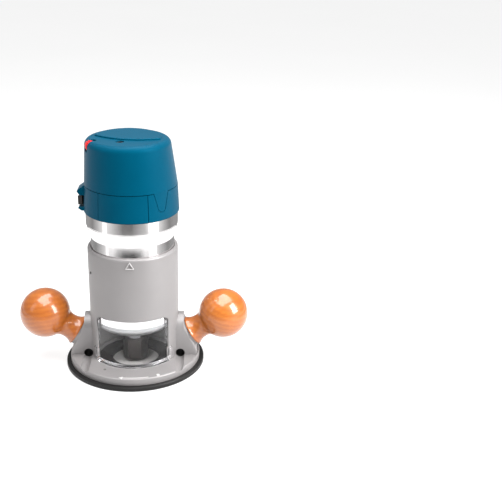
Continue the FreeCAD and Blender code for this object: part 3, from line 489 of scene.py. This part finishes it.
half_angle = math.asin(SHIELD_HALF / SHIELD_OUT)
sheet = bmesh.new()
point = None
ROWS = 12
for row in range(ROWS + 1):
    point = run_to(sheet, point, SHIELD_OUT, SHIELD_LOW + (SHIELD_TOP - SHIELD_LOW) * row / ROWS)
sweep_front(sheet, half_angle)
for side in (-1, 1):
    corner = Vector((side * (SHIELD_HALF - CORNER_CUT), 0, SHIELD_TOP)) * MM
    bmesh.ops.bisect_plane(sheet, geom=sheet.verts[:] + sheet.edges[:] + sheet.faces[:], plane_co=corner,
                           plane_no=(side, 0, 1), clear_outer=True)
bmesh.ops.recalc_face_normals(sheet, faces=sheet.faces)
bmesh.ops.solidify(sheet, geom=sheet.faces[:], thickness=SHIELD_THICK * MM)
finished_piece("clear_shield", sheet, clear_polycarbonate, "shield", ["chip_shield"])

# %% Shield bead
bead = bmesh.new()
point = run_to(bead, None, 45.7, 13.0)
point = run_to(bead, point, 48.9, 13.0)
point = round_to(bead, point, 48.9, 16.4, 1.75, 6)
point = run_to(bead, point, 45.7, 16.4)
loose_ends = [v for v in bead.verts if len(v.link_edges) == 1]
bead.edges.new(loose_ends)
sweep_front(bead, half_angle + 0.02)
bmesh.ops.holes_fill(bead, edges=[e for e in bead.edges if e.is_boundary])
finished_piece("shield_bead", bead, clear_polycarbonate, "shield")

# %% Shield clips
CLIP_TALL = 12.5
CLIP_WIDE = 6.6
CLIP_BAR = 1.5
CLIP_THICK = 2.4
CLIP_SPOT = (50.4, 0, 23.2)
CLIP_BEARING = math.radians(53.4)
for side, name in ((-1, "left_shield_clip"), (1, "right_shield_clip")):
    clip = bmesh.new()
    bmesh.ops.create_grid(clip, x_segments=1, y_segments=1, size=0.5)
    bmesh.ops.scale(clip, vec=(CLIP_TALL * MM, CLIP_WIDE * MM, 1), verts=clip.verts)
    bmesh.ops.inset_region(clip, faces=clip.faces[:], thickness=CLIP_BAR * MM, use_boundary=True,
                           use_even_offset=True)
    middle = min(clip.faces, key=lambda f: f.calc_center_median().length)
    bmesh.ops.delete(clip, geom=[middle], context="FACES")
    bmesh.ops.solidify(clip, geom=clip.faces[:], thickness=CLIP_THICK * MM)
    bmesh.ops.bevel(clip, geom=clip.edges[:], offset=0.4 * MM, offset_type="OFFSET", segments=2, profile=0.5,
                    affect="EDGES", material=-1, clamp_overlap=True)
    bmesh.ops.rotate(clip, cent=(0, 0, 0), matrix=Matrix.Rotation(math.pi / 2, 3, "Y"), verts=clip.verts)
    bmesh.ops.translate(clip, vec=Vector(CLIP_SPOT) * MM, verts=clip.verts)
    swing = Matrix.Rotation(FRONT + side * CLIP_BEARING, 3, "Z")
    bmesh.ops.rotate(clip, cent=(0, 0, 0), matrix=swing, verts=clip.verts)
    finished_piece(name, clip, clear_polycarbonate, "shield")

# %% [markdown]
# ## Light through the clear pieces
# A clear sheet bends light, and following every bent ray would take long. The clear pieces throw
# no shade instead, so that the lights reach the bit chamber behind them.

# %% Let light through
for name in ("clear_shield", "shield_bead", "left_shield_clip", "right_shield_clip"):
    bpy.data.objects[name].visible_shadow = False
print("light reaches the bit chamber")

# %% [markdown]
# ## Small marks on the casting
# A raised triangle near the rim is the mark that depth is read against. An arrow, a pip and an
# oiling hole are on the flange, and a little screw sits on the left of the barrel. They are too
# fine for a bump to hold. The triangle, the arrow and the pip are raised in the painted casting,
# and their pale finish is a painted highlight. The oiling hole is a dark disc, a painted shade for
# the inside of the hole. The triangle is a three-cornered circle with its middle taken out, laid
# on the round barrel, and the arrow is a bar spun along the flange with a three-sided head.

# %% Depth mark
def wrap_on_barrel(shape, radius, bearing):
    """Bend what stands at x = radius round the barrel, then turn it to its bearing."""
    for vert in shape.verts:
        depth = vert.co.x
        turn = vert.co.y / radius
        vert.co.x = depth * math.cos(turn)
        vert.co.y = depth * math.sin(turn)
    turned = Matrix.Rotation(math.radians(bearing), 3, "Z")
    bmesh.ops.rotate(shape, cent=(0, 0, 0), matrix=turned, verts=shape.verts)


MARK_REACH = 5.2
MARK_LINE = 0.6
MARK_TALL = 1.2
MARK_SPOT = (48.6, 0, 131.0)
BARREL_RADIUS = 48.4
mark = bmesh.new()
bmesh.ops.create_circle(mark, cap_ends=True, segments=3, radius=MARK_REACH * MM)
bmesh.ops.inset_region(mark, faces=mark.faces[:], thickness=MARK_LINE * MM, use_boundary=True,
                       use_even_offset=True)
middle = [f for f in mark.faces if len(f.verts) == 3]
bmesh.ops.delete(mark, geom=middle, context="FACES")
bmesh.ops.rotate(mark, cent=(0, 0, 0), matrix=Matrix.Rotation(math.pi / 2, 3, "Z"), verts=mark.verts)
bmesh.ops.rotate(mark, cent=(0, 0, 0), matrix=Matrix.Rotation(math.pi / 2, 3, "Y"), verts=mark.verts)
bmesh.ops.subdivide_edges(mark, edges=mark.edges[:], cuts=3, use_grid_fill=True)
bmesh.ops.recalc_face_normals(mark, faces=mark.faces)
bmesh.ops.solidify(mark, geom=mark.faces[:], thickness=MARK_TALL * MM)
bmesh.ops.translate(mark, vec=Vector(MARK_SPOT) * MM, verts=mark.verts)
wrap_on_barrel(mark, BARREL_RADIUS * MM, -89.4)
# The triangle's pale finish is a painted highlight.
finished_piece("depth_mark", mark, pale_ticks_and_painted_highlight, "base", smooth_to=25.0)

# %% Arrow on the flange
ARROW_REACH = 69.0
ARROW_FLOOR = 12.2
ARROW_TOP = 13.0
ARROW_HALF = 11.5
ARROW_SHIFT = 4.0
ARROW_NECK = 0.8
shaft = bmesh.new()
point = run_to(shaft, None, ARROW_REACH - 0.45, ARROW_FLOOR)
point = run_to(shaft, point, ARROW_REACH + 0.45, ARROW_FLOOR)
point = run_to(shaft, point, ARROW_REACH + 0.3, ARROW_TOP)
point = run_to(shaft, point, ARROW_REACH - 0.3, ARROW_TOP)
shaft.edges.new([v for v in shaft.verts if len(v.link_edges) == 1])
sweep_front(shaft, math.radians(ARROW_HALF), 24)
shift = Matrix.Rotation(math.radians(ARROW_SHIFT), 3, "Z")
bmesh.ops.rotate(shaft, cent=(0, 0, 0), matrix=shift, verts=shaft.verts)
bmesh.ops.holes_fill(shaft, edges=[e for e in shaft.edges if e.is_boundary])
# The arrow's pale finish is a painted highlight.
finished_piece("arrow_shaft", shaft, pale_ticks_and_painted_highlight, "base")

# %% Arrow head
head = bmesh.new()
bmesh.ops.create_cone(head, cap_ends=True, segments=3, radius1=3.0 * MM, radius2=2.6 * MM,
                      depth=(ARROW_TOP - ARROW_FLOOR) * MM)
bmesh.ops.bevel(head, geom=head.edges[:], offset=0.2 * MM, offset_type="OFFSET", segments=2, profile=0.5,
                affect="EDGES", material=-1)
tip = max(head.verts, key=lambda v: v.co.xy.length).co
facing = Matrix.Rotation(-math.pi / 2 - math.atan2(tip.y, tip.x), 3, "Z")
bmesh.ops.rotate(head, cent=(0, 0, 0), matrix=facing, verts=head.verts)
bmesh.ops.translate(head, vec=Vector((ARROW_REACH, 0, (ARROW_FLOOR + ARROW_TOP) / 2)) * MM, verts=head.verts)
swing = Matrix.Rotation(FRONT - math.radians(ARROW_HALF - ARROW_SHIFT + ARROW_NECK), 3, "Z")
bmesh.ops.rotate(head, cent=(0, 0, 0), matrix=swing, verts=head.verts)
# The head's pale finish is a painted highlight, as on the shaft.
finished_piece("arrow_head", head, pale_ticks_and_painted_highlight, "base")

# %% Small screw, pip and oiling hole
UPRIGHT = Matrix.Identity(4)
TO_THE_LEFT = Matrix.Rotation(math.radians(-63.5), 4, "Z") @ Matrix.Rotation(math.pi / 2, 4, "X")
for name, across, tall, spot, tip_over, finish, slot in (
        ("barrel_screw", 1.5, 1.0, (-43.4, -21.4, 113.0), TO_THE_LEFT, oxide_steel_and_hole_shade, "black_steel"),
        # The pip's pale finish is a painted highlight.
        ("flange_pip", 1.8, 1.2, (28.5, -62.0, 12.7), UPRIGHT, pale_ticks_and_painted_highlight, "cast_aluminium_paint"),
        # The oiling hole is a dark disc: painted shade for the inside of the hole.
        ("oiling_hole", 1.3, 0.5, (-29.0, -50.0, 12.6), UPRIGHT, oxide_steel_and_hole_shade, "black_steel")):
    stud = bmesh.new()
    bmesh.ops.create_cone(stud, cap_ends=True, segments=24, radius1=across * MM, radius2=across * MM,
                          depth=tall * MM)
    top = max(stud.faces, key=lambda f: f.calc_center_median().z)
    bmesh.ops.bevel(stud, geom=list(top.edges), offset=0.3 * MM, offset_type="OFFSET", segments=3,
                    profile=0.5, affect="EDGES", material=-1)
    top = max(stud.faces, key=lambda f: f.calc_center_median().z)
    bmesh.ops.inset_region(stud, faces=[top], thickness=0.5 * MM, depth=-0.3 * MM)
    bmesh.ops.transform(stud, matrix=Matrix.Translation(Vector(spot) * MM) @ tip_over, verts=stud.verts)
    finished_piece(name, stud, finish, "base")

# %% [markdown]
# ## Ribs for the fingers
# The depth knob and the speed dial have ribs that a finger can hold. A bump in the material would
# not show at the edge of the knob, so the ribs are real: a cylinder with many sides has every
# second upright pushed in, and its rims are softened.

# %% Ribs
def ribbed(across, tall, ribs, depth, round_off):
    shape = bmesh.new()
    bmesh.ops.create_cone(shape, cap_ends=True, segments=4 * ribs, radius1=across * MM, radius2=across * MM,
                          depth=tall * MM)
    corner = math.tau / (4 * ribs)
    for vert in shape.verts:
        step = round(math.atan2(vert.co.y, vert.co.x) / corner - 0.25)
        if step % 4 >= 2:
            vert.co.x *= 1 - depth / across
            vert.co.y *= 1 - depth / across
    rims = [e for e in shape.edges if abs(e.verts[0].co.z - e.verts[1].co.z) < 1e-6]
    bmesh.ops.bevel(shape, geom=rims, offset=round_off * MM, offset_type="OFFSET", segments=3, profile=0.5,
                    affect="EDGES", material=-1, clamp_overlap=True)
    return shape


print("ribs ready")

# %% Ribbed adjusting knob
knob_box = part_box("adjust_knob")
knob_spot = (knob_box[0] + knob_box[1]) / 2
knob_tall = (knob_box[1] - knob_box[0]).z / MM
grip = ribbed(across=8.5, tall=knob_tall, ribs=24, depth=0.6, round_off=0.2)
bmesh.ops.translate(grip, vec=knob_spot, verts=grip.verts)
finished_piece("ribbed_adjust_knob", grip, black_grip, "adjuster", ["adjust_knob"],
               smooth_to=25.0)

# %% Ribbed speed dial
DIAL_REACH = 41.9
DIAL_HEIGHT = 249.8
DIAL_BEARING = math.radians(-158.0)
dial_spot = Vector((DIAL_REACH * math.cos(DIAL_BEARING), DIAL_REACH * math.sin(DIAL_BEARING),
                    DIAL_HEIGHT)) * MM
dial = ribbed(across=5.5, tall=6.0, ribs=14, depth=0.5, round_off=0.6)
lay = Matrix.Rotation(DIAL_BEARING, 4, "Z") @ Matrix.Rotation(math.pi / 2, 4, "X")
bmesh.ops.transform(dial, matrix=Matrix.Translation(dial_spot) @ lay, verts=dial.verts)
finished_piece("ribbed_speed_dial", dial, red_plastic, "dial", ["speed_dial"], smooth_to=25.0)

# %% [markdown]
# ## Ticks on the depth ring
# Light ticks stand round the black ring under the knob, and depth is set by counting them. They
# are thin bars, because a bump would not give them a colour of their own. One bar is made and spun
# into copies.

# %% Ring ticks
TICKS = 24
TICK_REACH = 9.1
tick = bmesh.new()
bmesh.ops.create_cube(tick, size=1.0)
bmesh.ops.scale(tick, vec=(0.5 * MM, 0.45 * MM, 1.9 * MM), verts=tick.verts)
bmesh.ops.bevel(tick, geom=tick.edges[:], offset=0.08 * MM, offset_type="OFFSET", segments=1, profile=0.5,
                affect="EDGES", material=-1)
ring_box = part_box("indicator_ring")
ring_spot = (ring_box[0] + ring_box[1]) / 2
bmesh.ops.translate(tick, vec=ring_spot + Vector((TICK_REACH * MM, 0, 0)), verts=tick.verts)
bmesh.ops.spin(tick, geom=tick.verts[:] + tick.edges[:] + tick.faces[:], cent=ring_spot, axis=(0, 0, 1),
               angle=math.tau * (TICKS - 1) / TICKS, steps=TICKS - 1, use_duplicate=True)
finished_piece("depth_ring_ticks", tick, pale_ticks_and_painted_highlight, "indicator")

# %% [markdown]
# ## The spring behind the release lever
# The spring gets shorter when the lever is pressed. Here it is one coil of fixed length, a thin
# wire circle spun four turns along its axis.

# %% Release spring
SPRING_BEARING = math.radians(62.0)
SPRING_RADIUS = 1.1
WIRE_RADIUS = 0.20
SPRING_START = 65.45
SPRING_LENGTH = 4.3
SPRING_HEIGHT = 100.5
TURNS = 4
STEPS = 20 * TURNS
spring = bmesh.new()
bmesh.ops.create_circle(spring, cap_ends=False, segments=10, radius=WIRE_RADIUS * MM)
bmesh.ops.rotate(spring, cent=(0, 0, 0), matrix=Matrix.Rotation(math.pi / 2, 3, "X"), verts=spring.verts)
bmesh.ops.translate(spring, vec=(SPRING_RADIUS * MM, 0, 0), verts=spring.verts)
bmesh.ops.spin(spring, geom=spring.verts[:] + spring.edges[:], cent=(0, 0, 0), axis=(0, 0, 1), steps=STEPS,
               angle=math.tau * TURNS, dvec=(0, 0, SPRING_LENGTH * MM / STEPS))
bmesh.ops.holes_fill(spring, edges=[e for e in spring.edges if e.is_boundary])
lay = Matrix.Rotation(SPRING_BEARING, 4, "Z") @ Matrix.Translation(
    Vector((SPRING_START, 0, SPRING_HEIGHT)) * MM) @ Matrix.Rotation(math.pi / 2, 4, "Y")
bmesh.ops.transform(spring, matrix=lay, verts=spring.verts)
coil = finished_piece("coiled_release_spring", spring, bright_zinc, "carriage",
                      ["release_spring"])
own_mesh(coil)

# %% [markdown]
# ## Camera
# The camera stands in front and a little above, and looks down at the tool. It is placed by three
# angles, because a camera that only points at a target cannot lean.

# %% Camera
VIEW_YAW = math.radians(-2.82)
VIEW_PITCH = math.radians(21.3)
VIEW_ROLL = math.radians(1.37)
ahead = Vector((-math.sin(VIEW_YAW) * math.cos(VIEW_PITCH), math.cos(VIEW_YAW) * math.cos(VIEW_PITCH),
                -math.sin(VIEW_PITCH)))
level_right = Vector((math.cos(VIEW_YAW), math.sin(VIEW_YAW), 0))
level_up = level_right.cross(ahead)
right = level_right * math.cos(VIEW_ROLL) + level_up * math.sin(VIEW_ROLL)
up = level_up * math.cos(VIEW_ROLL) - level_right * math.sin(VIEW_ROLL)
lens = bpy.data.cameras.new("studio_camera")
lens.sensor_width = 36.0
lens.lens = 63.62
camera = bpy.data.objects.new("studio_camera", lens)
collection.objects.link(camera)
looking = Matrix((right, up, -ahead)).transposed().to_4x4()
camera.matrix_world = Matrix.Translation((0.08323, -0.8959, 0.4803)) @ looking
bpy.context.scene.camera = camera
print("camera at", [round(x, 3) for x in camera.location])

# %% [markdown]
# ## Floor
# The tool stands on a white table. White paint alone would come out grey under soft lights, so the
# table glows as well. A darker card lies under the hole in the sub-base, where the table
# would be in the tool's own shade.

# %% White table
FLOOR_GLOW = 0.9


def staged_sheet(name, finish, low_x, high_x, low_y, high_y, height):
    shape = bmesh.new()
    bmesh.ops.create_grid(shape, x_segments=4, y_segments=4, size=0.5)
    bmesh.ops.scale(shape, vec=(high_x - low_x, high_y - low_y, 1), verts=shape.verts)
    bmesh.ops.translate(shape, vec=((low_x + high_x) / 2, (low_y + high_y) / 2, height), verts=shape.verts)
    mesh = bpy.data.meshes.new(name)
    shape.to_mesh(mesh)
    shape.free()
    staged = bpy.data.objects.new(name, mesh)
    collection.objects.link(staged)
    mesh.materials.append(finish)


white_table = surface("white_table", (0.30, 0.30, 0.30), (0.32, 0.32, 0.32), (0.75, 0.8), 300.0, 0.00001,
                      patch=2.0, shine=0.1)
glow = white_table.node_tree.nodes["Principled BSDF"]
glow.inputs["Emission Color"].default_value = (1.0, 1.0, 1.0, 1.0)
glow.inputs["Emission Strength"].default_value = 0.78
staged_sheet("table_top", white_table, -14.0, 14.0, -6.0, 22.0, -0.0002)
shadow_card = surface("shadow_card", (0.30, 0.29, 0.28), (0.34, 0.33, 0.32), (0.75, 0.8), 300.0, 0.00001,
                      shine=0.1)
staged_sheet("hole_shade", shadow_card, -0.033, 0.033, -0.033, 0.033, -0.0001)
print("table and card laid")

# %% [markdown]
# ## Grey flags
# In a studio, dark cards lie round shiny metal, so that it shows grey bands between its highlights.
# The camera never sees the cards here: only reflections do, and they throw no shade. Each card is a
# short line spun on the floor, and its glow rises at the ends until it melts into the table.

# %% Soft cards
def soft_card(name, axis, stops):
    """A card that glows faintly, so that its ends can melt into the white table."""
    finish, tree, shader = start_finish(name)
    split = tree.nodes.new("ShaderNodeSeparateXYZ")
    tree.links.new(mapped(tree), split.inputs["Vector"])
    along = tree.nodes.new("ShaderNodeMapRange")
    along.inputs["From Min"].default_value = -0.5
    along.inputs["From Max"].default_value = 0.5
    tree.links.new(split.outputs[axis], along.inputs["Value"])
    shade = tint(tree, along.outputs["Result"], [(place + 0.5, glow, glow, glow) for place, glow in stops])
    tree.links.new(shade, shader.inputs["Emission Color"])
    shader.inputs["Emission Strength"].default_value = 1.0
    shader.inputs["Base Color"].default_value = (0.0, 0.0, 0.0, 1.0)
    shader.inputs["Specular IOR Level"].default_value = 0.0
    return finish


front_card = soft_card("front_card", "X", [(-0.46, FLOOR_GLOW), (-0.34, 0.55), (-0.16, 0.18), (0.03, 0.16),
                                           (0.14, 0.34), (0.30, 0.52), (0.36, FLOOR_GLOW)])
near_card = soft_card("near_card", "X", [(-0.30, FLOOR_GLOW), (-0.23, 0.40), (-0.12, 0.04), (0.06, 0.02),
                                         (0.16, 0.25), (0.24, FLOOR_GLOW)])
back_card = soft_card("back_card", "Y", [(-0.20, FLOOR_GLOW), (-0.02, 0.50), (0.14, 0.26), (0.30, 0.34)])
print("cards painted")

# %% Flags
def floor_flag(name, finish, inner, outer, first, last):
    """A ring-shaped card on the floor, between two bearings from the front."""
    shape = bmesh.new()
    ends = [shape.verts.new((0, -reach, 0.001)) for reach in (inner, outer)]
    edge = shape.edges.new(ends)
    turned = Matrix.Rotation(math.radians(first), 3, "Z")
    bmesh.ops.rotate(shape, cent=(0, 0, 0), matrix=turned, verts=ends)
    bmesh.ops.spin(shape, geom=[*ends, edge], cent=(0, 0, 0), axis=(0, 0, 1), steps=24,
                   angle=math.radians(last - first))
    mesh = bpy.data.meshes.new(name)
    shape.to_mesh(mesh)
    shape.free()
    flag = bpy.data.objects.new(name, mesh)
    collection.objects.link(flag)
    mesh.materials.append(finish)
    for ray in ("camera", "diffuse", "transmission", "shadow", "volume_scatter"):
        setattr(flag, f"visible_{ray}", False)


floor_flag("front_flag", front_card, 0.47, 0.70, -58, 44)
floor_flag("near_flag", near_card, 0.31, 0.425, -62, 48)
floor_flag("back_flag", back_card, 0.36, 0.70, 70, 290)
print("flags laid")

# %% [markdown]
# ## Lights
# A big soft light stands at the right, a weak one at the left and a wide one overhead, and the pale
# world fills the rest. A tiny lamp fills the bit chamber, which would be darker without it.

# %% World
world = bpy.data.worlds.new("studio_world")
bpy.context.scene.world = world
world.use_nodes = True
world.node_tree.nodes["Background"].inputs["Color"].default_value = (1.0, 1.0, 1.0, 1.0)
world.node_tree.nodes["Background"].inputs["Strength"].default_value = 0.36
print("world strength", world.node_tree.nodes["Background"].inputs["Strength"].default_value)

# %% Softboxes
def softbox(name, place, aim, wide, tall, power):
    light = bpy.data.lights.new(name, "AREA")
    light.shape = "RECTANGLE"
    light.size = wide
    light.size_y = tall
    light.energy = power
    box = bpy.data.objects.new(name, light)
    box.location = place
    box.rotation_mode = "QUATERNION"
    box.rotation_quaternion = (Vector(aim) - Vector(place)).to_track_quat("-Z", "Y")
    collection.objects.link(box)
    return box


softbox("right_softbox", (1.0, -0.5, 0.72), (0, 0, 0.12), 0.6, 0.9, 25.0)
softbox("left_softbox", (-0.9, -0.45, 0.7), (0, 0, 0.12), 0.35, 0.7, 1.0)
softbox("top_softbox", (0.05, -0.05, 1.15), (0, 0, 0.12), 1.2, 1.0, 24.0)
chamber_fill = softbox("chamber_fill", (0, -0.038, 0.040), (0, 0.05, 0.022), 0.02, 0.01, 0.026)
for ray in ("camera", "glossy", "transmission"):
    setattr(chamber_fill, f"visible_{ray}", False)
bpy.context.scene.view_settings.view_transform = "Standard"
